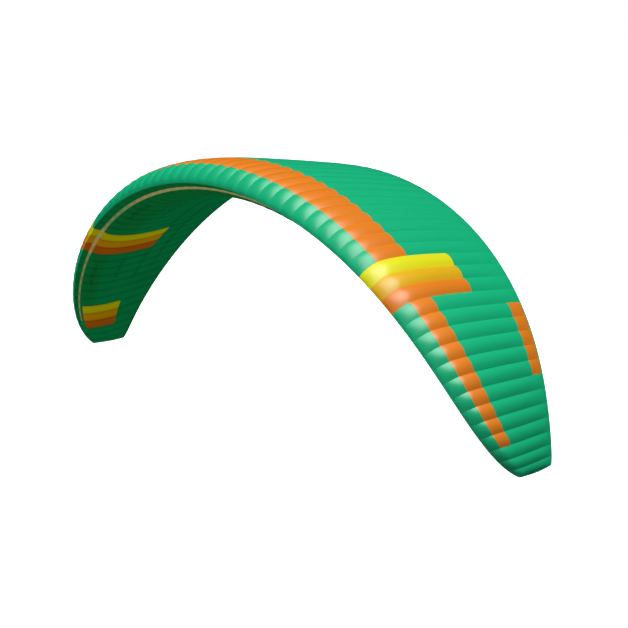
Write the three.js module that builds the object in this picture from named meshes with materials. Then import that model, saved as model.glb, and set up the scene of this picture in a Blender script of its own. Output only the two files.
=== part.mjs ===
// Ram-air parakite canopy, inflated, in flight attitude.
// Millimetres, +Z up, +X along the span, leading edge towards -Y.
// The origin is the middle of the lower skin at a quarter of the chord, where the lines pull.
import * as THREE from 'three';

// Driving dimensions
const CELLS = 61; // cells side by side along the span
const FLAT_SPAN = 9600; // span of the cloth laid flat, before the tips are cut off square
const ROOT_CHORD = 1710; // leading edge to trailing edge at the middle
const END_CHORD = 212; // chord that the plan curve runs out to
const TIP_CUT = 0.0128; // share of the half span that is cut off at each tip
const END_LEAN = 79.25; // how far the end of the arc leans over from upright, degrees
const PITCH = 7.7; // pitch of the whole arc that brings the middle chord nearly level, degrees
const CELL_TAPER = 0.181; // how much narrower cells get towards the tips
const LEAN_SHARES = { first: 0.645, third: 0.293, sixth: 0.062 }; // of the lean, growing as s, s^3, s^6
const PLAN_POWERS = { along: 2.37, across: 0.62 }; // roundness of the plan outline
// How far the leading edge lies back, in shares of the middle chord that grow as s^5, s^15 and s^50
const SWEEP = { early: 0.134, late: 0.135, end: 0.02 };
const TIP_CUT_POWER = 20; // how few of the last cells are narrowed by the cut
const TWIST = { middle: 6.35, half: 2, tip: -1.2 }; // turn of the ribs, growing as 1, s^2, s^6, degrees
const THICKNESS = 0.125; // of the round part of the section, as a share of the chord
const CAMBER = 0.015; // rise of the mean line, as a share of the chord
const NOSE_DROOP = 0.04; // how far the nose hangs below the chord line
const TIP_DROOP = 0.056; // how much further it hangs at the tips, growing as s^4
const NOSE_LENGTH = 0.11; // share of the chord that droops
const OUTER_THINNING = 0.13; // share of the section's height lost on the way to the tips
const TIP_CLOSING = 0.03; // share of the half span over which the skins close to the tip seam
const TIP_HEIGHT = 0.04; // share of the section's height left at the tip seam
const SHEET = 1.5; // cloth thickness
const GAP = 0.3; // between neighbouring panels
const UPPER_BULGE = 0.118; // height of an inflated cell behind the nose, as a share of its width
const LOWER_BULGE = 0.05;
const FULL_SWELL = { upper: 0.1, lower: 0.25 }; // where along the chord the cells are swollen in full
const TAIL_FADE = 0.32; // share of the chord over which the upper cells flatten to the trailing edge

// Where panels meet, as shares of the chord
const BAND_FRONT = 0.085; // seam between the nose and the colour band
const INNER_BAND_END = 0.3; // rear seam of the colour band, on the inner cells and on the outer ones
const OUTER_BAND_END = 0.235;
const LIP = 0.008; // lower seam of the nose
const INTAKE_TOP = { x: 0.057, z: -0.07 };
const INTAKE_FOOT = { x: 0.077, z: -0.087 };
const STRIPE_END = 0.6; // rear end of the stripe panels
const LINE_ROW = 0.25; // the origin's place on the lower skin

const COLOUR = { green: 0x1db97d, orange: 0xec8218, yellow: 0xf0e81e, gold: 0xe9b51e, net: 0xb5a888 };

const HALF_SPAN = FLAT_SPAN / 2;
const EDGE = SHEET + GAP / 2; // half the height of the trailing edge
const radians = THREE.MathUtils.degToRad;

// Plan and arc of the wing, by s, the place along the flat half span from 0 to 1
const TIP = 1 - TIP_CUT;
const leanShare = s => LEAN_SHARES.first * s + LEAN_SHARES.third * s ** 3 + LEAN_SHARES.sixth * s ** 6;
const lean = s => radians(END_LEAN) * leanShare(s);
const planShare = s => (1 - s ** PLAN_POWERS.along) ** PLAN_POWERS.across;
const chord = s => END_CHORD + (ROOT_CHORD - END_CHORD) * planShare(s);
const sweepShare = s => SWEEP.early * s ** 5 + SWEEP.late * s ** 15 + SWEEP.end * s ** 50;
const sweep = s => ROOT_CHORD * sweepShare(s);
const twist = s => radians(TWIST.middle + TWIST.half * s ** 2 + TWIST.tip * s ** 6);

function heightShare(s) {
  const closing = THREE.MathUtils.clamp((s - TIP + TIP_CLOSING) / TIP_CLOSING, 0, 1);
  const shut = TIP_HEIGHT + (1 - TIP_HEIGHT) * Math.sqrt(1 - closing ** 2);
  return shut * (1 - OUTER_THINNING * s ** 2);
}

// The arc of the leading edge, summed up in short straight steps
const ARC_STEPS = 400;
const arc = [{ x: 0, z: 0 }];
for (let i = 0; i < ARC_STEPS; i++) {
  const angle = lean((i + 0.5) / ARC_STEPS);
  const step = HALF_SPAN / ARC_STEPS;
  arc.push({ x: arc[i].x + step * Math.cos(angle), z: arc[i].z - step * Math.sin(angle) });
}

function onArc(s) {
  const at = Math.min(s * ARC_STEPS, ARC_STEPS);
  const i = Math.min(Math.floor(at), ARC_STEPS - 1);
  const x = THREE.MathUtils.lerp(arc[i].x, arc[i + 1].x, at - i);
  const z = THREE.MathUtils.lerp(arc[i].z, arc[i + 1].z, at - i);
  return { x, z };
}

// Place of rib k along the span, from -1 at the left tip to 1 at the right
function ribPlace(k) {
  const u = (2 * k) / CELLS - 1;
  return u * (1 + CELL_TAPER * (1 - u ** 2) - TIP_CUT * u ** TIP_CUT_POWER);
}

const cellWidth = k => (ribPlace(k + 1) - ribPlace(k)) * HALF_SPAN;

// The rib's outline as heights over the chord line, in shares of the chord
const CAMBER_PEAK = 0.3;
const BELLY = 0.245; // how deep the lower skin hangs behind the intakes
const BELLY_POWERS = { front: 0.66, rear: 1.3 }; // how soon it deepens and how flat it runs out
const HOLLOW = 0.07; // how much the upper skin is flattened behind the band
const HOLLOW_POWERS = { front: 1.5, rear: 1.2 };
const MIDDLE_HOLLOW = { depth: 0.085, front: 2.2, span: 8 }; // more of it in the middle of the span

const droopShare = x => Math.max(0, 1 - x / NOSE_LENGTH) ** 2;

function meanLine(x) {
  const run = x < CAMBER_PEAK ? CAMBER_PEAK : 1 - CAMBER_PEAK;
  return CAMBER * (1 - ((x - CAMBER_PEAK) / run) ** 2) - NOSE_DROOP * droopShare(x);
}

function halfThickness(x) {
  const curve = 0.2969 * Math.sqrt(x) - 0.126 * x - 0.3516 * x ** 2 + 0.2843 * x ** 3 - 0.1036 * x ** 4;
  return 5 * THICKNESS * Math.max(0, curve);
}

const between = (a, b, x) => THREE.MathUtils.mapLinear(x, a.x, b.x, a.z, b.z);

function upperHeight(x) {
  const hollow = HOLLOW * x ** HOLLOW_POWERS.front * (1 - x) ** HOLLOW_POWERS.rear;
  return meanLine(x) + halfThickness(x) - hollow;
}

function lowerHeight(x) {
  const lip = { x: LIP, z: meanLine(LIP) - halfThickness(LIP) };
  if (x <= LIP) return meanLine(x) - halfThickness(x);
  if (x <= INTAKE_TOP.x) return between(lip, INTAKE_TOP, x);
  if (x <= INTAKE_FOOT.x) return between(INTAKE_TOP, INTAKE_FOOT, x);
  const back = (x - INTAKE_FOOT.x) / (1 - INTAKE_FOOT.x);
  return INTAKE_FOOT.z * (1 - back) - BELLY * back ** BELLY_POWERS.front * (1 - back) ** BELLY_POWERS.rear;
}

// A place on the outline: x and z are shares of the chord, side is 1 above and -1 below
const upper = x => ({ x, z: upperHeight(x), side: 1 });
const lower = x => ({ x, z: lowerHeight(x), side: -1 });

// How much lower a place lies by its span: the nose towards the tips, the upper skin in the middle
function settling({ x, side }, s) {
  const nose = TIP_DROOP * s ** 4 * droopShare(x);
  if (side < 0) return nose;
  const hollow = x ** MIDDLE_HOLLOW.front * (1 - x) ** HOLLOW_POWERS.rear;
  return nose + MIDDLE_HOLLOW.depth * (1 - s ** 2) ** MIDDLE_HOLLOW.span * hollow;
}

// How far a cell swells, growing from the lip seam and fading to the trailing edge
function bulgeShare({ x, side }) {
  if (side > 0) {
    const swell = Math.sqrt(Math.min(1, x / FULL_SWELL.upper));
    return UPPER_BULGE * swell * Math.sqrt(Math.min(1, (1 - x) / TAIL_FADE));
  }
  const fade = Math.sqrt(1 - Math.sqrt(x));
  return LOWER_BULGE * fade * THREE.MathUtils.clamp((x - LIP) / (FULL_SWELL.lower - LIP), 0, 1);
}

// The outline at one place along the span, as flat points with their outward normals
function outline(places, s, bulge) {
  const c = chord(s);
  const points = places.map(place => {
    const height = place.z - settling(place, s);
    return new THREE.Vector2(place.x * c, height * c * heightShare(s) + place.side * EDGE);
  });
  const normals = points.map((point, i) => {
    const before = points[Math.max(i - 1, 0)];
    const after = points[Math.min(i + 1, points.length - 1)];
    const into = point.clone().sub(before).normalize();
    const out = after.clone().sub(point).normalize();
    const along = into.add(out).normalize();
    const normal = new THREE.Vector2(along.y, -along.x);
    const corner = i > 0 && i < points.length - 1 ? normal.dot(new THREE.Vector2(out.y, -out.x)) : 1;
    return { normal, along, depth: SHEET / corner };
  });
  return points.map((point, i) => {
    const { normal, along, depth } = normals[i];
    const face = point.clone().addScaledVector(normal, bulge * bulgeShare(places[i]));
    return { face, along, back: face.clone().addScaledVector(normal, -depth) };
  });
}

// A flat rib point brought to its place in the wing; t is the place along the whole span
function placed(point, t) {
  const s = Math.abs(t);
  const side = t < 0 ? -1 : 1;
  const { x, z } = onArc(s);
  const angle = lean(s);
  const across = new THREE.Vector3(side * Math.sin(angle), 0, Math.cos(angle));
  const down = twist(s);
  const along = new THREE.Vector3(0, Math.cos(down), 0).addScaledVector(across, -Math.sin(down));
  const out = across.clone().multiplyScalar(Math.cos(down)).add(new THREE.Vector3(0, Math.sin(down), 0));
  return new THREE.Vector3(side * x, sweep(s), z)
    .addScaledVector(along, point.x)
    .addScaledVector(out, point.y)
    .applyAxisAngle(new THREE.Vector3(1, 0, 0), radians(PITCH));
}

// The middle of the lower skin where the lines pull
const linePlace = lower(LINE_ROW);
const middleBulge = cellWidth((CELLS - 1) / 2) * bulgeShare(linePlace);
const lineHeight = linePlace.z * ROOT_CHORD - EDGE - middleBulge;
const origin = placed(new THREE.Vector2(linePlace.x * ROOT_CHORD, lineHeight), 0);

// One panel of thin cloth over cells first to last, between two places of the outline
function panel({ places, from, to, first, last }) {
  const trim = GAP / 2 / HALF_SPAN;
  const rows = [];
  for (let k = first; k <= last; k++) {
    rows.push({ t: ribPlace(k), bulge: 0 });
    rows.push({ t: (ribPlace(k) + ribPlace(k + 1)) / 2, bulge: cellWidth(k) });
  }
  rows.push({ t: ribPlace(last + 1), bulge: 0 });
  rows[0].t += trim;
  rows.at(-1).t -= trim;
  const insets = places.map(() => 0);
  if (from > 0) insets[from] = GAP / 2;
  if (to < places.length - 1) insets[to] = -GAP / 2;
  const corners = [];
  for (const { t, bulge } of rows) {
    const cut = outline(places, Math.abs(t), bulge);
    for (let i = from; i <= to; i++) {
      const { face, back, along } = cut[i];
      for (const point of [face, back]) {
        corners.push(placed(point.addScaledVector(along, insets[i]), t).sub(origin));
      }
    }
  }
  return sheetGeometry(corners, rows.length, to - from + 1);
}

// A closed sheet from a grid of corner pairs, the face corner first and the back corner second
function sheetGeometry(corners, rowCount, columnCount) {
  const triangles = [];
  const corner = (row, column, back) => 2 * (row * columnCount + column) + back;
  const quad = (a, b, c, d) => triangles.push(a, b, c, a, c, d);
  for (let r = 0; r < rowCount - 1; r++) {
    for (let c = 0; c < columnCount - 1; c++) {
      quad(corner(r, c, 0), corner(r, c + 1, 0), corner(r + 1, c + 1, 0), corner(r + 1, c, 0));
      quad(corner(r, c, 1), corner(r + 1, c, 1), corner(r + 1, c + 1, 1), corner(r, c + 1, 1));
    }
  }
  const rim = [];
  for (let c = 0; c < columnCount - 1; c++) rim.push([0, c, 0, c + 1]);
  for (let r = 0; r < rowCount - 1; r++) rim.push([r, columnCount - 1, r + 1, columnCount - 1]);
  for (let c = columnCount - 1; c > 0; c--) rim.push([rowCount - 1, c, rowCount - 1, c - 1]);
  for (let r = rowCount - 1; r > 0; r--) rim.push([r, 0, r - 1, 0]);
  for (const [r0, c0, r1, c1] of rim) {
    quad(corner(r0, c0, 0), corner(r0, c0, 1), corner(r1, c1, 1), corner(r1, c1, 0));
  }
  const geometry = new THREE.BufferGeometry().setFromPoints(corners);
  geometry.setIndex(triangles);
  geometry.computeVertexNormals();
  return geometry;
}

// Seams of the outline from the upper trailing edge round the nose to the lower trailing edge
const upperRear = [1, 0.8, STRIPE_END, 0.44];
const nose = [BAND_FRONT, 0.045, 0.018, 0.004, 0];
const lowerNose = [0.002, LIP];
const lowerRear = [0.12, 0.18, 0.3, 0.45, STRIPE_END, 0.8, 1];

function seams(bandEnd) {
  const bandMiddle = (BAND_FRONT + bandEnd) / 2;
  const above = [...upperRear, bandEnd, bandMiddle, ...nose].map(upper);
  const below = [...lowerNose, INTAKE_TOP.x, INTAKE_FOOT.x, ...lowerRear].map(lower);
  const places = [...above, ...below];
  const seam = (side, x) => places.findIndex(p => p.side === side && p.x === x);
  return {
    places,
    upperTail: 0,
    upperStripe: seam(1, STRIPE_END),
    bandEnd: seam(1, bandEnd),
    bandFront: seam(1, BAND_FRONT),
    lip: seam(-1, LIP),
    intakeTop: seam(-1, INTAKE_TOP.x),
    intakeFoot: seam(-1, INTAKE_FOOT.x),
    lowerStripe: seam(-1, STRIPE_END),
    lowerTail: places.length - 1,
  };
}

const skinPanels = [
  { name: 'rear', from: 'upperTail', to: 'bandEnd', colour: 'green' },
  { name: 'band', from: 'bandEnd', to: 'bandFront', colour: 'orange' },
  { name: 'nose', from: 'bandFront', to: 'lip', colour: 'green' },
  { name: 'lip', from: 'lip', to: 'intakeTop', colour: 'green' },
  { name: 'net', from: 'intakeTop', to: 'intakeFoot', colour: 'net' },
  { name: 'under', from: 'intakeFoot', to: 'lowerTail', colour: 'green' },
];
const tipPanels = [
  { name: 'upper', from: 'upperTail', to: 'lip', colour: 'green' },
  { name: 'under', from: 'lip', to: 'lowerTail', colour: 'green' },
];
const stripeBlockPanels = [
  { name: 'rear', from: 'upperTail', to: 'upperStripe', colour: 'green' },
  { name: 'net', from: 'intakeTop', to: 'intakeFoot', colour: 'net' },
  { name: 'under', from: 'lowerStripe', to: 'lowerTail', colour: 'green' },
];
const stripePanels = [
  { name: 'upper', from: 'upperStripe', to: 'lip' },
  { name: 'lip', from: 'lip', to: 'intakeTop' },
  { name: 'under', from: 'intakeFoot', to: 'lowerStripe' },
];

// Groups of cells on the left half, counted from the left tip; the right half mirrors them
const MIDDLE_FIRST = 26; // first cell of the middle group
const groups = [
  { name: 'tip', first: 0, last: 2, bandEnd: OUTER_BAND_END, panels: tipPanels },
  { name: 'outer', first: 3, last: 12, bandEnd: OUTER_BAND_END, panels: skinPanels },
  { name: 'stripes', first: 13, last: 15, bandEnd: OUTER_BAND_END, panels: stripeBlockPanels },
  { name: 'orange', first: 13, last: 13, bandEnd: OUTER_BAND_END, panels: stripePanels, cloth: 'orange' },
  { name: 'gold', first: 14, last: 14, bandEnd: OUTER_BAND_END, panels: stripePanels, cloth: 'gold' },
  { name: 'yellow', first: 15, last: 15, bandEnd: OUTER_BAND_END, panels: stripePanels, cloth: 'yellow' },
  { name: 'inner', first: 16, last: MIDDLE_FIRST - 1, bandEnd: INNER_BAND_END, panels: skinPanels },
];

const canopy = new THREE.Group();

function addGroup({ name, first, last, bandEnd, panels, cloth }) {
  const { places, ...seam } = seams(bandEnd);
  for (const { name: part, from, to, colour } of panels) {
    const color = COLOUR[colour ?? cloth];
    const material = new THREE.MeshStandardMaterial({ color, roughness: 0.55, metalness: 0 });
    const geometry = panel({ places, from: seam[from], to: seam[to], first, last });
    const mesh = new THREE.Mesh(geometry, material);
    mesh.name = `${part}_${name}`;
    canopy.add(mesh);
  }
}

for (const group of groups) {
  addGroup({ ...group, name: `${group.name}_left` });
  addGroup({
    ...group,
    name: `${group.name}_right`,
    first: CELLS - 1 - group.last,
    last: CELLS - 1 - group.first,
  });
}
addGroup({
  name: 'centre',
  first: MIDDLE_FIRST,
  last: CELLS - 1 - MIDDLE_FIRST,
  bandEnd: INNER_BAND_END,
  panels: skinPanels,
});

export default canopy;
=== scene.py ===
import math

import bpy
from mathutils import Matrix, Vector


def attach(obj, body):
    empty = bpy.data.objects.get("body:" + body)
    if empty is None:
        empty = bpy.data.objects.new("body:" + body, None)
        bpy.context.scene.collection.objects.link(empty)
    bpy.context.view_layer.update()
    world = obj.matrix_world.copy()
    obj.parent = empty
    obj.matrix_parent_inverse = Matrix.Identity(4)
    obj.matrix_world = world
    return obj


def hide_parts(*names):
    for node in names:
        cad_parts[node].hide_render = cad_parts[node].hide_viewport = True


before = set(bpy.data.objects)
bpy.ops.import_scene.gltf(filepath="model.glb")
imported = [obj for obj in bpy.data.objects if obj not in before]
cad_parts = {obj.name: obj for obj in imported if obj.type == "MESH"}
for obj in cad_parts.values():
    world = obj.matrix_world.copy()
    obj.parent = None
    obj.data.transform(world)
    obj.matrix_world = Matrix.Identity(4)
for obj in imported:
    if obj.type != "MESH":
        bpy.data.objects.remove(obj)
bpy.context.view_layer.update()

print("frame loaded:", len(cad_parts), "nodes")

# camera
view = {
    "azimuth": 55.96,  # degrees round from the front, towards the right tip
    "elevation": 8.81,
    "distance": 15.964,
    "target": (0.25099, 0.70036, -1.15918),
    "lens": 93.59,
    "sensor": 36.0,
    "farEnd": 1000,
}


def lookFrom(azimuth, elevation):
    a, e = math.radians(azimuth), math.radians(elevation)
    return Vector((math.sin(a) * math.cos(e), -math.cos(a) * math.cos(e), math.sin(e)))


bpy.ops.object.select_all(action="DESELECT")
back = lookFrom(view["azimuth"], view["elevation"])
bpy.ops.object.camera_add(location=Vector(view["target"]) + back * view["distance"])
camera = bpy.context.object
camera.rotation_euler = (-back).to_track_quat("-Z", "Y").to_euler()
camera.data.lens = view["lens"]
camera.data.sensor_width = view["sensor"]
camera.data.clip_end = view["farEnd"]
bpy.context.scene.camera = camera
bpy.context.scene.view_settings.view_transform = "Standard"
print("camera set")

# form of the wing, in metres; shares are of the chord unless noted
wing = {
    "cells": 61,
    "flatSpan": 9.6,  # before the tips are cut off square
    "rootChord": 1.71,
    "endChord": 0.212,
    "planAlong": 2.37,  # roundness of the plan outline
    "planAcross": 0.62,
    "tipCut": 0.0128,  # share of the half span
    "tipCutPower": 20,
    "cellTaper": 0.181,
    "endLean": 79.25,  # degrees
    "leanShares": {1: 0.645, 3: 0.293, 6: 0.062},  # by power of the place along the half span
    "twist": {0: 6.35, 2: 2, 6: -1.2},  # degrees, by power
    "sweep": {5: 0.134, 15: 0.135, 50: 0.02},  # shares of the root chord, by power
    "pitch": 7.7,  # degrees
    "thickness": 0.125,
    "camber": 0.015,
    "camberPeak": 0.3,
    "noseDroop": 0.04,
    "tipDroop": 0.056,  # how much further the nose hangs at the tips
    "tipDroopPower": 4,
    "noseLength": 0.11,
    "belly": 0.245,  # how deep the lower skin hangs behind the intakes
    "bellyFront": 0.66,
    "bellyRear": 1.3,
    "hollow": 0.07,  # how much the upper skin is flattened behind the band
    "hollowFront": 1.5,
    "hollowRear": 1.2,
    "middleHollow": 0.085,  # more of it in the middle of the span
    "middleHollowFront": 2.2,
    "middleHollowSpan": 8,
    "outerThinning": 0.13,
    "tipClosing": 0.03,  # share of the half span
    "tipHeight": 0.04,
    "tailHeight": 0.00165,  # half the height of the trailing edge
    "upperBulge": 0.118,  # share of a cell's width
    "lowerBulge": 0.05,
    "upperSwell": 0.1,  # where the cells are swollen in full
    "lowerSwell": 0.25,
    "swellEase": 8,  # how sharply the upper swelling levels off there
    "tailFade": 0.32,  # where the upper cells flatten to the trailing edge
    "lineRow": 0.25,
}
seamAt = {
    "bandFront": 0.085,
    "innerBandEnd": 0.3,
    "outerBandEnd": 0.235,
    "stripeEnd": 0.6,
    "lip": 0.008,
    "intakeTop": (0.057, -0.07),
    "intakeFoot": (0.077, -0.087),
}
foilCurve = {0.5: 1.4845, 1: -0.63, 2: -1.758, 3: 1.4215, 4: -0.518}  # half height, by power
halfSpan = wing["flatSpan"] / 2
tipEnd = 1 - wing["tipCut"]
up, down = 1, -1


def powerSum(shares, s):
    return sum(share * s**power for power, share in shares.items())


def lean(s):
    return math.radians(wing["endLean"]) * powerSum(wing["leanShares"], s)


def chord(s):
    rounded = (1 - s ** wing["planAlong"]) ** wing["planAcross"]
    return wing["endChord"] + (wing["rootChord"] - wing["endChord"]) * rounded


def heightShare(s):
    closing = min(max((s - tipEnd) / wing["tipClosing"] + 1, 0), 1)
    shut = wing["tipHeight"] + (1 - wing["tipHeight"]) * math.sqrt(1 - closing**2)
    return shut * (1 - wing["outerThinning"] * s**2)


arcSteps = 400
arc = [(0.0, 0.0)]
for i in range(arcSteps):
    angle = lean((i + 0.5) / arcSteps)
    step = halfSpan / arcSteps
    arc.append((arc[-1][0] + step * math.cos(angle), arc[-1][1] - step * math.sin(angle)))


def onArc(s):
    i = min(int(s * arcSteps), arcSteps - 1)
    share = s * arcSteps - i
    return tuple(a + (b - a) * share for a, b in zip(arc[i], arc[i + 1]))


def ribPlace(k):  # from -1 at the left tip to 1 at the right
    u = 2 * k / wing["cells"] - 1
    return u * (1 + wing["cellTaper"] * (1 - u**2) - wing["tipCut"] * u ** wing["tipCutPower"])


def placeIn(k, share):  # part of the way across a cell
    return ribPlace(k) + (ribPlace(k + 1) - ribPlace(k)) * share


def cellWidth(k):
    return (ribPlace(k + 1) - ribPlace(k)) * halfSpan


def arch(share):  # 0 at both ends, 1 in the middle
    return 4 * share * (1 - share)


def droopShare(x):
    return max(0, 1 - x / wing["noseLength"]) ** 2


def meanLine(x):
    run = wing["camberPeak"] if x < wing["camberPeak"] else 1 - wing["camberPeak"]
    rise = wing["camber"] * (1 - ((x - wing["camberPeak"]) / run) ** 2)
    return rise - wing["noseDroop"] * droopShare(x)


def halfThickness(x):
    return wing["thickness"] * max(0, powerSum(foilCurve, x))


def straight(a, b, x):
    return a[1] + (b[1] - a[1]) * (x - a[0]) / (b[0] - a[0])


def upperHeight(x):
    hollow = wing["hollow"] * x ** wing["hollowFront"] * (1 - x) ** wing["hollowRear"]
    return meanLine(x) + halfThickness(x) - hollow


def lowerHeight(x):
    lip, top, foot = seamAt["lip"], seamAt["intakeTop"], seamAt["intakeFoot"]
    if x <= lip:
        return meanLine(x) - halfThickness(x)
    if x <= top[0]:
        return straight((lip, meanLine(lip) - halfThickness(lip)), top, x)
    if x <= foot[0]:
        return straight(top, foot, x)
    back = (x - foot[0]) / (1 - foot[0])
    hang = back ** wing["bellyFront"] * max(0, 1 - back) ** wing["bellyRear"]
    return foot[1] * (1 - back) - wing["belly"] * hang


def skinHeight(side, x, s):
    nose = wing["tipDroop"] * s ** wing["tipDroopPower"] * droopShare(x)
    if side == down:
        return lowerHeight(x) - nose
    hollow = x ** wing["middleHollowFront"] * max(0, 1 - x) ** wing["hollowRear"]
    middle = wing["middleHollow"] * (1 - s**2) ** wing["middleHollowSpan"]
    return upperHeight(x) - nose - middle * hollow


def bulgeShare(side, x):
    if side == up:
        reach, ease = math.sqrt(x / wing["upperSwell"]), wing["swellEase"]
        swell = reach / (1 + reach**ease) ** (1 / ease)
        return wing["upperBulge"] * swell * math.sqrt(max(0, min(1, (1 - x) / wing["tailFade"])))
    fade = math.sqrt(max(0, 1 - math.sqrt(x)))
    swell = (x - seamAt["lip"]) / (wing["lowerSwell"] - seamAt["lip"])
    return wing["lowerBulge"] * fade * min(max(swell, 0), 1)


tilt = Matrix.Rotation(math.radians(wing["pitch"]), 3, "X")


def station(t):  # foot of a rib at its nose, and its directions back along the chord and out of the skin
    s, side = abs(t), -1 if t < 0 else 1
    x, z = onArc(s)
    sweep = wing["rootChord"] * powerSum(wing["sweep"], s)
    across = Vector((side * math.sin(lean(s)), 0, math.cos(lean(s))))
    turn = math.radians(powerSum(wing["twist"], s))
    along = Vector((0, math.cos(turn), 0)) - across * math.sin(turn)
    out = across * math.cos(turn) + Vector((0, math.sin(turn), 0))
    return tilt @ Vector((side * x, sweep, z)), tilt @ along, tilt @ out


def flatPoint(side, x, s):
    c = chord(s)
    return Vector((x * c, skinHeight(side, x, s) * c * heightShare(s) + side * wing["tailHeight"]))


middleCell = wing["cells"] // 2
linePoint = flatPoint(down, wing["lineRow"], 0)
linePoint.y -= cellWidth(middleCell) * bulgeShare(down, wing["lineRow"])
foot, along, out = station(0)
pullPoint = foot + along * linePoint.x + out * linePoint.y


def crossSection(places, t, bulge):  # the rib outline at one place along the span
    foot, along, out = station(t)
    flat = [flatPoint(side, x, abs(t)) for side, x in places]
    points, lengths = [], [0.0]
    for i, (side, x) in enumerate(places):
        before = flat[i] - flat[i - 1] if i else flat[1] - flat[0]
        after = flat[i + 1] - flat[i] if i + 1 < len(flat) else before
        ahead = before.normalized() + after.normalized()
        normal = Vector((ahead.y, -ahead.x)).normalized()
        point = flat[i] + normal * bulge * bulgeShare(side, x)
        points.append(foot + along * point.x + out * point.y - pullPoint)
        lengths.append(lengths[-1] + after.length)
    return {"points": points, "lengths": lengths}


def runOf(side, start, end, steps):  # places along one skin, closer together near the nose
    a, b = math.sqrt(start), math.sqrt(end)
    return [(side, (a + (b - a) * i / steps) ** 2) for i in range(steps)]


def outlinePlaces(bandEnd):  # from the upper trailing edge round the nose to the lower one
    runs = [  # name of the first place, skin, chord shares at both ends, steps
        ("upperTail", up, 1, seamAt["stripeEnd"], 14),
        ("upperStripe", up, seamAt["stripeEnd"], bandEnd, 16),
        ("bandEnd", up, bandEnd, seamAt["bandFront"], 10),
        ("bandFront", up, seamAt["bandFront"], 0, 16),
        ("noseTip", down, 0, seamAt["lip"], 6),
        ("lip", down, seamAt["lip"], seamAt["intakeTop"][0], 6),
        ("intakeTop", down, seamAt["intakeTop"][0], seamAt["intakeFoot"][0], 2),
        ("intakeFoot", down, seamAt["intakeFoot"][0], seamAt["stripeEnd"], 18),
        ("lowerStripe", down, seamAt["stripeEnd"], 1, 12),
    ]
    places, index = [], {}
    for name, side, start, end, steps in runs:
        index[name] = len(places)
        places += runOf(side, start, end, steps)
    places.append((down, 1))
    index["lowerTail"] = len(places) - 1
    return places, index


print("wing form ready")


# cloth materials
class Wire:  # a socket that takes part in Python sums
    def __init__(self, kit, socket):
        self.kit, self.socket = kit, socket

    def maths(self, operation, *values):
        return self.kit.node("ShaderNodeMath", {"operation": operation}, dict(enumerate(values)))

    def __add__(self, other):
        return self.maths("ADD", self, other)

    def __radd__(self, other):
        return self.maths("ADD", other, self)

    def __sub__(self, other):
        return self.maths("SUBTRACT", self, other)

    def __rsub__(self, other):
        return self.maths("SUBTRACT", other, self)

    def __mul__(self, other):
        return self.maths("MULTIPLY", self, other)

    def __rmul__(self, other):
        return self.maths("MULTIPLY", other, self)

    def __truediv__(self, other):
        return self.maths("DIVIDE", self, other)

    def __gt__(self, other):
        return self.maths("GREATER_THAN", self, other)

    def __abs__(self):
        return self.maths("ABSOLUTE", self)

    def fraction(self):
        return self.maths("FRACT", self)

    def larger(self, other):
        return self.maths("MAXIMUM", self, other)


class NodeKit:  # makes the nodes of one material or world
    def __init__(self, owner):
        owner.use_nodes = True
        self.tree = owner.node_tree
        self.tree.nodes.clear()

    def node(self, kind, settings=None, sockets=None, output=0):
        made = self.tree.nodes.new(kind)
        for name, value in (settings or {}).items():
            setattr(made, name, value)
        for name, value in (sockets or {}).items():
            if isinstance(value, Wire):
                self.tree.links.new(value.socket, made.inputs[name])
            else:
                made.inputs[name].default_value = value
        return Wire(self, made.outputs[output]) if made.outputs else made

    def ramp(self, value, low, high):  # 0 below low, 1 above high
        limits = {"From Min": low, "From Max": high, "Value": value}
        return self.node("ShaderNodeMapRange", {"interpolation_type": "SMOOTHSTEP"}, limits)

    def within(self, value, limits, soft):  # 1 between two limits, 0 beyond them
        low, high = limits
        past = self.ramp(value, high - soft, high + soft)
        return self.ramp(value, low - soft, low + soft) * (1 - past)

    def blend(self, share, first, second, way="MIX"):
        values = {"Factor": share, 6: first, 7: second}  # the node's two colour sockets
        return self.node("ShaderNodeMix", {"data_type": "RGBA", "blend_type": way}, values, output=2)

    def parts(self, uvName):  # the two coordinates of a UV map
        uv = self.node("ShaderNodeUVMap", {"uv_map": uvName})
        return [self.node("ShaderNodeSeparateXYZ", None, {0: uv}, output=axis) for axis in "XY"]

    def threads(self, run, pitch, edge):  # lines along a woven cloth, 1 on a thread
        return self.ramp(abs((run / pitch).fraction() - 0.5), *edge)


def tinted(colour, tint):
    return tuple(value * share for value, share in zip(colour, tint)) + (1,)


cloth = {
    "ripstop": 0.0065,  # pitch of the thicker threads
    "thread": (0.34, 0.5),  # edge of a thread, in shares of the pitch
    "threadDark": 0.05,
    "stitchRow": 0.02,  # share of a cell from a seam to its stitching
    "stitchEdge": (0.004, 0.009),
    "stitch": 0.0045,  # a stitch and the gap after it
    "stitchGap": 0.35,  # share of that
    "stitchDark": 0.03,
    "clouds": {"Scale": 2.2, "Detail": 3},  # wide patches, a little darker and rougher
    "cloudEdge": (0.35, 0.75),
    "cloudRough": 0.04,
    "creases": {"Scale": 26, "Detail": 2},
    "relief": {"Strength": 0.3, "Distance": 0.0005},
    "turnedGlow": 0.45,  # painted glow where the nose turns under, standing in for light through the cloth
    "turnedAt": (-0.004, 0.002),  # chord shares, the lower skin's below 0
    "lapEdge": (-0.0035, -0.0015),  # how far the lip's cloth laps up over the nose, bringing there the lower skin's darker painted-shade colour and its weaker painted glow
    "lapCells": (15.9, 16.1),  # cells from the tip where the lap begins
}
upperFinish = {
    "roughness": 0.33,
    "weave": 0.08,  # how much the cloth's thicker threads and small creases stand out
    "creased": 0.06,
    "gloss": 1.0,
    "glow": 0.0,  # painted glow, standing in for light that comes through the cloth
    "seamReach": 0.03,  # share of a cell beside a seam that is painted a little darker, as shade in the valley between swollen cells
    "seamShade": 0.025,
    "cloudy": 0.02,
    "colours": {
        "green": (0.006, 0.59, 0.26, 1),
        "orange": (0.97, 0.268, 0.014, 1),
        "gold": (0.98, 0.565, 0.009, 1),
        "yellow": (0.985, 0.975, 0.012, 1),
    },
}
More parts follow.
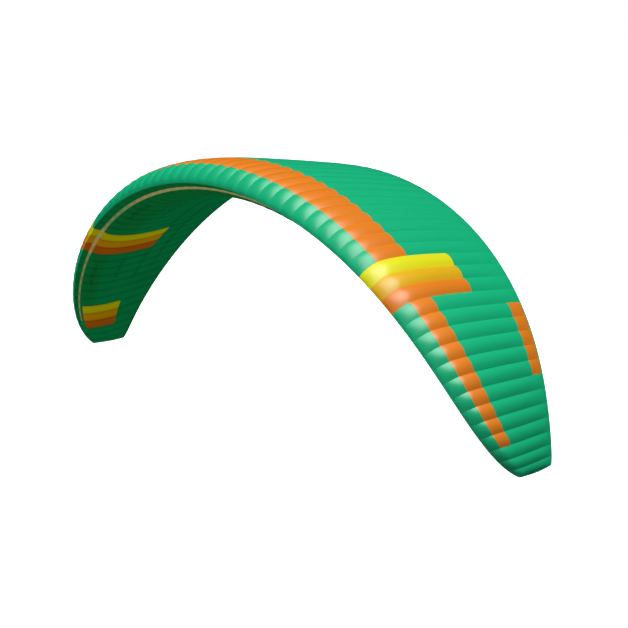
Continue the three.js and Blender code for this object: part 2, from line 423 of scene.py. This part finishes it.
lowerFinish = {
    "roughness": 0.6,
    "weave": 0.2,
    "creased": 0.5,
    "gloss": 0.0,
    # painted glow that lifts the shaded underside and evens it out
    "glow": 0.137,
    "seamReach": 0.26,
    "seamShade": 0.2,
    "cloudy": 0.08,
    # darker copies of the upper colours: painted shade of the underside
    "colours": {
        "green": (0.004, 0.4, 0.108, 1),
        "orange": (0.76, 0.178, 0.006, 1),
        "gold": (0.98, 0.445, 0.0025, 1),
        "yellow": (0.92, 0.84, 0.0025, 1),
    },
}
strapShade = {  # painted shade: faint dark lines where inner bands across the ribs shade the lower skin
    "soft": 0.032,
    "endSoft": 0.5,  # cells
    "dark": 0.24,
    "broken": (0.3, 0.55),  # how the creases break them up
    "runs": [  # first and last rib from the tip, and the chord share at each
        (9, 12, 0.157, 0.153),
        (19, 22, 0.14, 0.13),
        (9, 12, 0.4, 0.385),
        (19, 22.6, 0.364, 0.34),
        (9, 13, 0.62, 0.61),
        (15, 21.5, 0.6, 0.55),
        (10, 19, 0.775, 0.74),
    ],
}


# painted shade along the strap rows, 1 on a line
def strapShadeLines(kit, cells, chordShare):
    lines = None
    for first, last, start, end in strapShade["runs"]:
        middle = start + (cells - first) * ((end - start) / (last - first))
        line = 1 - kit.ramp(abs(chordShare - middle), 0, strapShade["soft"])
        line = line * kit.within(cells, (first, last), strapShade["endSoft"])
        lines = lines.larger(line) if lines else line
    return lines


def clothMaterial(name, slot, finish, patches=(), withStrapShade=False):
    material = bpy.data.materials.new(name)
    kit = NodeKit(material)
    acrossCut, alongCut = kit.parts("cut")
    cells, chordShare = kit.parts("cells")
    place = kit.node("ShaderNodeTexCoord", output="Object")

    across = kit.threads(acrossCut, cloth["ripstop"], cloth["thread"])
    ripstop = across.larger(kit.threads(alongCut, cloth["ripstop"], cloth["thread"]))
    fromSeam = 0.5 - abs(cells.fraction() - 0.5)
    besideSeam = 1 - kit.ramp(fromSeam, 0, finish["seamReach"])
    row = 1 - kit.ramp(abs(fromSeam - cloth["stitchRow"]), *cloth["stitchEdge"])
    stitches = row * ((alongCut / cloth["stitch"]).fraction() > cloth["stitchGap"])
    clouds = kit.node("ShaderNodeTexNoise", None, {"Vector": place, **cloth["clouds"]})
    creases = kit.node("ShaderNodeTexNoise", None, {"Vector": place, **cloth["creases"]})

    turned = 1 - kit.ramp(chordShare, *cloth["turnedAt"])
    lapped = (1 - kit.ramp(chordShare, *cloth["lapEdge"])) * kit.ramp(cells, *cloth["lapCells"])
    ground = kit.blend(lapped, finish["colours"][slot], lowerFinish["colours"][slot])
    for patch in patches:
        softCells, softChord = patch["edge"]
        inside = kit.within(cells, patch["cells"], softCells)
        inside = inside * kit.within(chordShare, patch["chord"], softChord)
        ground = kit.blend(inside, ground, patch["colour"])
    # the weave, stitches and cloudy patches darken the colour, and so does painted shade beside the
    # seams and along the strap rows
    dark = ripstop * cloth["threadDark"] + besideSeam * finish["seamShade"]
    dark = dark + kit.ramp(clouds, *cloth["cloudEdge"]) * finish["cloudy"]
    dark = dark + stitches * cloth["stitchDark"]
    if withStrapShade:
        broken = kit.ramp(creases, *strapShade["broken"])
        dark = dark + strapShadeLines(kit, cells, chordShare) * broken * strapShade["dark"]
    base = kit.blend(1, ground, 1 - dark, "MULTIPLY")
    height = (ripstop + stitches) * finish["weave"] + creases * finish["creased"]
    bump = kit.node("ShaderNodeBump", None, {"Height": height, **cloth["relief"]})
    # painted glow: the cloth emits its own colour, strongest where the nose turns under
    shine = finish["glow"] + turned * (cloth["turnedGlow"] - finish["glow"])
    shine = shine + lapped * (lowerFinish["glow"] - cloth["turnedGlow"])
    skin = kit.node(
        "ShaderNodeBsdfPrincipled",
        None,
        {
            "Base Color": base,
            "Roughness": finish["roughness"] + cloth["cloudRough"] * (clouds - 0.5),
            "Specular IOR Level": finish["gloss"],
            "Emission Color": kit.blend(shine, (0, 0, 0, 1), base),
            "Emission Strength": 1.0,
            "Normal": bump,
        },
    )
    kit.node("ShaderNodeOutputMaterial", None, {"Surface": skin})
    return material


colourBlocks = {  # sewn into the green cloth: cells from the tip and chord shares
    "edge": (0.01, 0.002),  # how soft, in cells and in chord shares
    "tailBlock": {"cells": (7, 12), "chord": (0.86, 1.1)},
    "tipStripes": {"orange": (3, 4), "gold": (4, 5), "yellow": (5, 6)},
    "tipStripeRun": (0.1, 0.6),
}
bandGlow = {  # painted light: the lower skin is tinted lighter and warmer under the colour band, as the band's light shining through
    "edge": (0.15, 0.03),
    "tint": (2, 0.87, 0.71),
    "runs": [((3, 13), (-0.1, seamAt["outerBandEnd"])), ((16, 31), (-0.1, seamAt["innerBandEnd"]))],
}
upperPatches = [
    {
        **colourBlocks["tailBlock"],
        "edge": colourBlocks["edge"],
        "colour": upperFinish["colours"]["orange"],
    }
]
glowColour = tinted(lowerFinish["colours"]["green"], bandGlow["tint"])
lowerPatches = [
    {"cells": cells, "chord": chordRun, "edge": bandGlow["edge"], "colour": glowColour}
    for cells, chordRun in bandGlow["runs"]
]
for slot, cells in colourBlocks["tipStripes"].items():
    lowerPatches.append(
        {
            "cells": cells,
            "chord": colourBlocks["tipStripeRun"],
            "edge": colourBlocks["edge"],
            "colour": lowerFinish["colours"][slot],
        }
    )
upperCloth, lowerCloth = {}, {}
for slot in upperFinish["colours"]:
    plain = slot == "green"  # the other colours have no patches
    upperCloth[slot] = clothMaterial(f"upper {slot} cloth", slot, upperFinish, upperPatches * plain)
    lowerCloth[slot] = clothMaterial(
        f"lower {slot} cloth", slot, lowerFinish, lowerPatches * plain, withStrapShade=plain
    )

net = {
    "mesh": 0.0025,  # pitch of its threads
    "thread": (0.22, 0.34),
    "threadPale": 0.15,
    "relief": {"Strength": 0.4, "Distance": 0.0004},
    "roughness": 0.7,
    "inner": (0.70, 0.55, 0.17, 1),
    "innerRib": (0.79, 0.62, 0.265, 1),
    "outer": (0.283, 0.467, 0.169, 1),
    "outerRib": (0.433, 0.522, 0.23, 1),
    "change": (19, 24),  # cells from the tip over which the net turns from green to tan
    "stripes": (12.6, 16.6),  # cells at the stripes, where it is tan too
    "stripeSoft": 0.3,
    "stripeShare": 0.7,
    "ribEdge": (0.08, 0.32),  # share of a cell that a rib's edge pales on each side
    "behind": [  # cells from the tip where coloured cloth shows through the net, and its colour
        ((4, 8), (0.62, 0.24, 0.05, 1)),
        ((9, 10), (0.62, 0.24, 0.05, 1)),
        ((11, 12), (0.62, 0.24, 0.05, 1)),
        ((13, 14), (0.8, 0.42, 0.1, 1)),
        ((14, 15), (0.85, 0.55, 0.1, 1)),
        ((15, 16), (0.8, 0.66, 0.1, 1)),
    ],
    "behindSoft": 0.02,
    "behindEdge": (0.28, 0.38),  # how far from the ribs it shows, in shares of a cell
    "hem": 0.0016,  # share of the chord that is turned over at each edge of the net
    "hemSoft": 0.0005,
    "closed": (3.9, 4.1),  # cells from the tip up to which cloth covers the net
    "glow": 0.25,  # painted glow, standing in for light that comes through the cloth behind the net
}


def netMaterial():
    material = bpy.data.materials.new("intake net")
    kit = NodeKit(material)
    acrossCut, alongCut = kit.parts("cut")
    cells, chordShare = kit.parts("cells")
    fromSeam = 0.5 - abs(cells.fraction() - 0.5)
    besideRib = 1 - kit.ramp(fromSeam, *net["ribEdge"])
    across = kit.threads(acrossCut, net["mesh"], net["thread"])
    mesh = across.larger(kit.threads(alongCut, net["mesh"], net["thread"]))
    atStripes = kit.within(cells, net["stripes"], net["stripeSoft"])
    tan = kit.ramp(cells, *net["change"]) + atStripes * net["stripeShare"]
    middle = kit.blend(tan, net["outer"], net["inner"])
    openMiddle = kit.ramp(fromSeam, *net["behindEdge"])
    for reach, colour in net["behind"]:
        shown = openMiddle * kit.within(cells, reach, net["behindSoft"])
        middle = kit.blend(shown, middle, colour)
    ground = kit.blend(besideRib, middle, kit.blend(tan, net["outerRib"], net["innerRib"]))
    pale = (1 - net["threadPale"]) + net["threadPale"] * mesh
    netting = kit.blend(1, ground, pale, "MULTIPLY")
    edges = seamAt["intakeTop"][0] + net["hem"], seamAt["intakeFoot"][0] - net["hem"]
    bare = kit.within(chordShare, edges, net["hemSoft"]).larger(atStripes)
    bare = bare * kit.ramp(cells, *net["closed"])
    base = kit.blend(bare, lowerFinish["colours"]["green"], netting)
    bump = kit.node("ShaderNodeBump", None, {"Height": mesh, **net["relief"]})
    skin = kit.node(
        "ShaderNodeBsdfPrincipled",
        None,
        {
            "Base Color": base,
            "Roughness": net["roughness"],
            # painted glow in the net's own colour
            "Emission Color": base,
            "Emission Strength": net["glow"],
            "Normal": bump,
        },
    )
    kit.node("ShaderNodeOutputMaterial", None, {"Surface": skin})
    return material


netCloth = netMaterial()
print("materials ready")


# sheets
panelCut = {
    "across": 8,  # steps across a cell
    "thickness": 0.0008,
    "smoothAngle": 35,  # degrees
}


def sewSheet(name, rows, thickness, material):
    # rows hold points, their place on the flat cut and their place by cell and chord
    wide = len(rows[0]["points"])
    points = [point for row in rows for point in row["points"]]

    def corner(row, column):
        return row * wide + column

    faces = [
        (corner(r, c), corner(r, c + 1), corner(r + 1, c + 1), corner(r + 1, c))
        for r in range(len(rows) - 1)
        for c in range(wide - 1)
    ]
    mesh = bpy.data.meshes.new(name)
    mesh.from_pydata(points, [], faces)
    for layer in ("cut", "cells"):
        places = [place for row in rows for place in row[layer]]
        uv = mesh.uv_layers.new(name=layer)
        for loop in mesh.loops:
            uv.data[loop.index].uv = places[loop.vertex_index]
    creased = [row["crease"] for row in rows]
    for edge in mesh.edges:
        a, b = (v // wide for v in edge.vertices)
        edge.use_edge_sharp = a == b and creased[a]
    mesh.materials.append(material)
    mesh.shade_smooth()
    piece = bpy.data.objects.new(name, mesh)
    bpy.context.collection.objects.link(piece)
    bpy.ops.object.select_all(action="DESELECT")
    piece.select_set(True)
    bpy.context.view_layer.objects.active = piece
    solid = piece.modifiers.new("thickness", "SOLIDIFY")
    solid.thickness, solid.offset = thickness, -1
    bpy.ops.object.modifier_apply(modifier=solid.name)
    bpy.ops.object.shade_smooth_by_angle(
        angle=math.radians(panelCut["smoothAngle"]), keep_sharp_edges=True
    )
    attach(piece, "root")
    return piece


def layOut(first, last, places):  # every cross-section of a group of cells
    rows = []
    for k in range(first, last + 1):
        for i in range(panelCut["across"] + (k == last)):
            share = i / panelCut["across"]
            t = placeIn(k, share)
            row = crossSection(places, t, arch(share) * cellWidth(k))
            cell = k + share
            row["t"], row["crease"] = t, share in (0, 1)
            row["cell"] = cell if cell < wing["cells"] / 2 else wing["cells"] - cell
            rows.append(row)
    return rows


def cutPanel(rows, places, start, end):  # the part of each cross-section between two seams
    # the chord share is below 0 where an upper panel turns under the nose
    return [
        {
            "points": row["points"][start : end + 1],
            "cut": [(row["t"] * halfSpan, row["lengths"][i]) for i in range(start, end + 1)],
            "cells": [(row["cell"], x * side * places[start][0]) for side, x in places[start : end + 1]],
            "crease": row["crease"],
        }
        for row in rows
    ]


def flatSize(rows):  # width, length and area of a panel's cut
    lengths = [row["cut"][-1][1] - row["cut"][0][1] for row in rows]
    steps = [b["cut"][0][0] - a["cut"][0][0] for a, b in zip(rows, rows[1:])]
    area = sum((a + b) / 2 * step for a, b, step in zip(lengths, lengths[1:], steps))
    return sum(steps), max(lengths), area


skinPanels = [
    ("rear", "upperTail", "bandEnd", "green"),
    ("band", "bandEnd", "bandFront", "orange"),
    ("nose", "bandFront", "lip", "green"),
    ("lip", "lip", "intakeTop", "green"),
    ("net", "intakeTop", "intakeFoot", "net"),
    ("under", "intakeFoot", "lowerTail", "green"),
]
tipPanels = [("upper", "upperTail", "lip", "green"), ("under", "lip", "lowerTail", "green")]
stripeBlock = [
    ("rear", "upperTail", "upperStripe", "green"),
    ("net", "intakeTop", "intakeFoot", "net"),
    ("under", "lowerStripe", "lowerTail", "green"),
]


def stripePanels(slot):
    return [
        ("upper", "upperStripe", "lip", slot),
        ("lip", "lip", "intakeTop", slot),
        ("under", "intakeFoot", "lowerStripe", slot),
    ]


cellGroups = [  # name, first and last cell from the tip, end of the colour band, panels
    ("tip", 0, 2, "outerBandEnd", tipPanels),
    ("outer", 3, 12, "outerBandEnd", skinPanels),
    ("stripes", 13, 15, "outerBandEnd", stripeBlock),
    ("orange", 13, 13, "outerBandEnd", stripePanels("orange")),
    ("gold", 14, 14, "outerBandEnd", stripePanels("gold")),
    ("yellow", 15, 15, "outerBandEnd", stripePanels("yellow")),
    ("inner", 16, 25, "innerBandEnd", skinPanels),
]
lastCell = wing["cells"] - 1
canopyGroups = [("centre", 26, lastCell - 26, "innerBandEnd", skinPanels)]
for group, first, last, bandEnd, panels in cellGroups:
    canopyGroups.append((f"{group}_left", first, last, bandEnd, panels))
    canopyGroups.append((f"{group}_right", lastCell - last, lastCell - first, bandEnd, panels))

for group, first, last, bandEnd, panels in canopyGroups:
    places, seam = outlinePlaces(seamAt[bandEnd])
    rows = layOut(first, last, places)
    for part, start, end, slot in panels:
        node = f"{part}_{group}"
        words = node.split("_")
        name = words[0] + "".join(word.capitalize() for word in words[1:])
        below = part in ("lip", "under")
        material = netCloth if slot == "net" else (lowerCloth if below else upperCloth)[slot]
        panel = cutPanel(rows, places, seam[start], seam[end])
        piece = sewSheet(name, panel, panelCut["thickness"], material)
        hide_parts(node)
        width, length, area = flatSize(panel)
print("canopy panels sewn")

# trailing edge hem
hem = {
    "width": 0.018,  # on each skin
    "fold": 0.004,  # round the edge
    "proud": 0.0008,
    "thickness": 0.0005,
    "across": 4,  # steps across a cell
    "weave": 0.002,
    "colours": [(0.008, 0.46, 0.2, 1), (0.012, 0.56, 0.25, 1)],
    "relief": {"Strength": 0.4, "Distance": 0.0004},
    "roughness": 0.6,
}


def hemMaterial():
    material = bpy.data.materials.new("hem tape")
    kit = NodeKit(material)
    acrossCut = kit.parts("cut")[0]
    weave = abs((acrossCut / hem["weave"]).fraction() - 0.5) * 2
    base = kit.blend(weave, *hem["colours"])
    bump = kit.node("ShaderNodeBump", None, {"Height": weave, **hem["relief"]})
    skin = kit.node(
        "ShaderNodeBsdfPrincipled",
        None,
        {"Base Color": base, "Roughness": hem["roughness"], "Normal": bump},
    )
    kit.node("ShaderNodeOutputMaterial", None, {"Surface": skin})
    return material


def hemRow(k, share):
    t = placeIn(k, share)
    reach = hem["width"] / chord(abs(t))
    lower = [(down, 1 - reach), (down, 1 - reach / 2), (down, 1)]
    places = lower + [(up, x) for side, x in reversed(lower)]
    row = crossSection(places, t, arch(share) * cellWidth(k))
    along, out = station(t)[1:]
    lifts = [-out, -out, along - out, along + out, out, out]
    row["points"] = [p + lift * hem["proud"] for p, lift in zip(row["points"], lifts)]
    row["cut"] = [(t * halfSpan, length) for length in row["lengths"][: len(places)]]
    row["cells"] = [(k + share, x) for side, x in places]
    row["crease"] = False
    return row


hemRows = [hemRow(k, i / hem["across"]) for k in range(wing["cells"]) for i in range(hem["across"])]
hemRows.append(hemRow(lastCell, 1))
hemCloth = hemMaterial()
hemTape = sewSheet("hemTape", hemRows, hem["thickness"], hemCloth)
hemLength = hemRows[-1]["cut"][0][0] - hemRows[0]["cut"][0][0]
print("hem sewn")

# tape that closes the two skins at each tip
tipTape = {
    "reach": 0.012,  # in over each skin
    "stand": 0.003,  # out past the last rib
    "bow": 0.010,  # and further out in the middle of the chord
    "thickness": 0.0005,
    "steps": 48,
}


def tipEdge(cell, share, side):  # points along one skin from the nose to the tail
    run = [(i / tipTape["steps"]) ** 2 for i in range(tipTape["steps"] + 1)]
    places = [(side, x) for x in (run if side == down else reversed(run))]
    row = crossSection(places, placeIn(cell, share), arch(share) * cellWidth(cell))
    points = row["points"]
    return points if side == down else points[::-1]


def sewTip(name, cell, endShare):
    inShare = abs(endShare - tipTape["reach"] / cellWidth(cell))
    above, aboveIn = tipEdge(cell, endShare, up), tipEdge(cell, inShare, up)
    below, belowIn = tipEdge(cell, endShare, down), tipEdge(cell, inShare, down)
    rows = []
    for i in range(tipTape["steps"] + 1):
        x = (i / tipTape["steps"]) ** 2
        outward = (above[i] + below[i] - aboveIn[i] - belowIn[i]).normalized()
        end = (above[i] + below[i]) / 2 + outward * (tipTape["stand"] + tipTape["bow"] * arch(x))
        points = [aboveIn[i], above[i], end, below[i], belowIn[i]]
        steps = [(b - a).length for a, b in zip(points, points[1:])]
        reach = [sum(steps[:j]) for j in range(len(points))]
        along = rows[-1]["cut"][0][0] + (end - rows[-1]["points"][2]).length if rows else 0
        rows.append(
            {
                "points": points,
                "cut": [(along, r) for r in reach],
                "cells": [(0, x)] * len(points),
                "crease": False,
            }
        )
    if endShare == 0:
        rows.reverse()
    piece = sewSheet(name, rows, tipTape["thickness"], hemCloth)
    widths = [row["cut"][-1][1] for row in rows]
    lengths = [abs(b["cut"][0][0] - a["cut"][0][0]) for a, b in zip(rows, rows[1:])]
    area = sum((a + b) / 2 * step for a, b, step in zip(widths, widths[1:], lengths))


sewTip("tipTapeLeft", 0, 0)
sewTip("tipTapeRight", lastCell, 1)
print("tips closed")

# line tabs under the ribs
tabs = {
    "radius": 0.0025,
    "width": 0.008,
    "stretch": 1.6,  # how much longer than round a loop hangs
    "webbing": 0.001,
    "sides": 14,
    "smoothAngle": 40,  # degrees
    "weave": {"Scale": 900, "Detail": 1},
    "weaveTones": (0.6, 1.3),
    "relief": {"Strength": 0.5, "Distance": 0.0003},
    "roughness": 0.75,
    "outerRib": 6,
    "rows": [  # name, ribs from the tip, chord share at the outer rib and at the middle, colour
        ("frontTabs", (7, 9, 12, 17, 19, 22, 23, 24, 27, 29), 0.165, 0.13, (0.16, 0.05, 0.04, 1)),
        ("secondTabs", (6, 7, 9, 12, 17, 19, 22, 24, 27, 29), 0.4, 0.33, (0.03, 0.09, 0.16, 1)),
        ("thirdTabs", (9, 12, 15, 19, 22, 24, 27, 29), 0.63, 0.53, (0.03, 0.07, 0.05, 1)),
        ("rearTabs", (10, 13, 16, 19, 22, 24, 27, 29), 0.78, 0.71, (0.03, 0.07, 0.05, 1)),
    ],
}


def webbingMaterial(name, colour):
    material = bpy.data.materials.new(name)
    kit = NodeKit(material)
    place = kit.node("ShaderNodeTexCoord", output="Object")
    weave = kit.node("ShaderNodeTexNoise", None, {"Vector": place, **tabs["weave"]})
    base = kit.blend(weave, *(tinted(colour, (tone,) * 3) for tone in tabs["weaveTones"]))
    bump = kit.node("ShaderNodeBump", None, {"Height": weave, **tabs["relief"]})
    skin = kit.node(
        "ShaderNodeBsdfPrincipled",
        None,
        {"Base Color": base, "Roughness": tabs["roughness"], "Normal": bump},
    )
    kit.node("ShaderNodeOutputMaterial", None, {"Surface": skin})
    return material


def tabLoop():  # one folded loop of webbing, its width along Z
    bpy.ops.object.select_all(action="DESELECT")
    bpy.ops.mesh.primitive_cylinder_add(
        vertices=tabs["sides"], radius=tabs["radius"], depth=tabs["width"], end_fill_type="NOTHING"
    )
    loop = bpy.context.object
    bpy.ops.object.mode_set(mode="EDIT")
    bpy.ops.mesh.select_all(action="SELECT")
    bpy.ops.transform.resize(value=(1, tabs["stretch"], 1))
    bpy.ops.mesh.normals_make_consistent(inside=False)
    bpy.ops.object.mode_set(mode="OBJECT")
    wall = loop.modifiers.new("webbing", "SOLIDIFY")
    wall.thickness = tabs["webbing"]
    bpy.ops.object.modifier_apply(modifier=wall.name)
    bpy.ops.object.shade_smooth_by_angle(angle=math.radians(tabs["smoothAngle"]))
    return loop


def hangTab(loop, k, x):
    t = ribPlace(k)
    foot, along, out = station(t)
    skin = flatPoint(down, x, abs(t))
    drop = tabs["radius"] * tabs["stretch"] - tabs["webbing"]
    place = foot + along * skin.x + out * (skin.y - drop) - pullPoint
    turn = Matrix((out.cross(along), out, along)).transposed().to_4x4()
    copy = loop.copy()
    copy.data = loop.data.copy()
    copy.data.transform(Matrix.Translation(place) @ turn)
    bpy.context.collection.objects.link(copy)
    return copy


loop = tabLoop()
ribRun = wing["cells"] / 2 - tabs["outerRib"]
for name, ribs, outerShare, innerShare, colour in tabs["rows"]:
    hung = []
    for rib in ribs:
        x = outerShare + (innerShare - outerShare) * (rib - tabs["outerRib"]) / ribRun
        hung += [hangTab(loop, rib, x), hangTab(loop, wing["cells"] - rib, x)]
    bpy.ops.object.select_all(action="DESELECT")
    for tab in hung:
        tab.select_set(True)
    bpy.context.view_layer.objects.active = hung[0]
    bpy.ops.object.join()
    row = bpy.context.object
    row.name = name
    row.data.materials.append(webbingMaterial(f"{name} webbing", colour))
    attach(row, "root")
bpy.data.objects.remove(loop)
print("line tabs hung")

# light, floor and sky
light = {
    "azimuth": 31,
    "elevation": 69,
    "height": 20,
    "lamps": [(30, 0.22), (50, 0.5), (72, 2.3)],  # a bright middle in a wide glow: degrees, strength
    "sky": 0.12,
}
floorFinish = {
    "drop": 12,
    "reach": 400,
    "colour": (0.9, 0.9, 0.9, 1),
    "roughness": 0.9,
    "glow": 1.0,
}
white = (1, 1, 1, 1)
towards = lookFrom(light["azimuth"], light["elevation"])
for angle, strength in light["lamps"]:
    bpy.ops.object.select_all(action="DESELECT")
    bpy.ops.object.light_add(type="SUN", location=towards * light["height"])
    lamp = bpy.context.object
    lamp.rotation_euler = (-towards).to_track_quat("-Z", "Y").to_euler()
    lamp.data.angle, lamp.data.energy = math.radians(angle), strength

sky = bpy.data.worlds.new("studio sky")
bpy.context.scene.world = sky
kit = NodeKit(sky)
seen = kit.node("ShaderNodeLightPath", output="Is Camera Ray")
mirrored = kit.node("ShaderNodeLightPath", output="Is Glossy Ray")
strength = seen + (1 - seen) * (1 - mirrored) * light["sky"]
backdrop = kit.node("ShaderNodeBackground", None, {"Color": white, "Strength": strength})
kit.node("ShaderNodeOutputWorld", None, {"Surface": backdrop})

bpy.ops.mesh.primitive_plane_add(size=floorFinish["reach"], location=(0, 0, -floorFinish["drop"]))
floor = bpy.context.object
floor.name = "floor"
floor.visible_diffuse = floor.visible_glossy = False
paper = bpy.data.materials.new("white paper")
kit = NodeKit(paper)
sheet = kit.node(
    "ShaderNodeBsdfPrincipled",
    None,
    {
        "Base Color": floorFinish["colour"],
        "Roughness": floorFinish["roughness"],
        "Emission Color": white,
        "Emission Strength": floorFinish["glow"],
    },
)
kit.node("ShaderNodeOutputMaterial", None, {"Surface": sheet})
floor.data.materials.append(paper)
print("light and floor set")
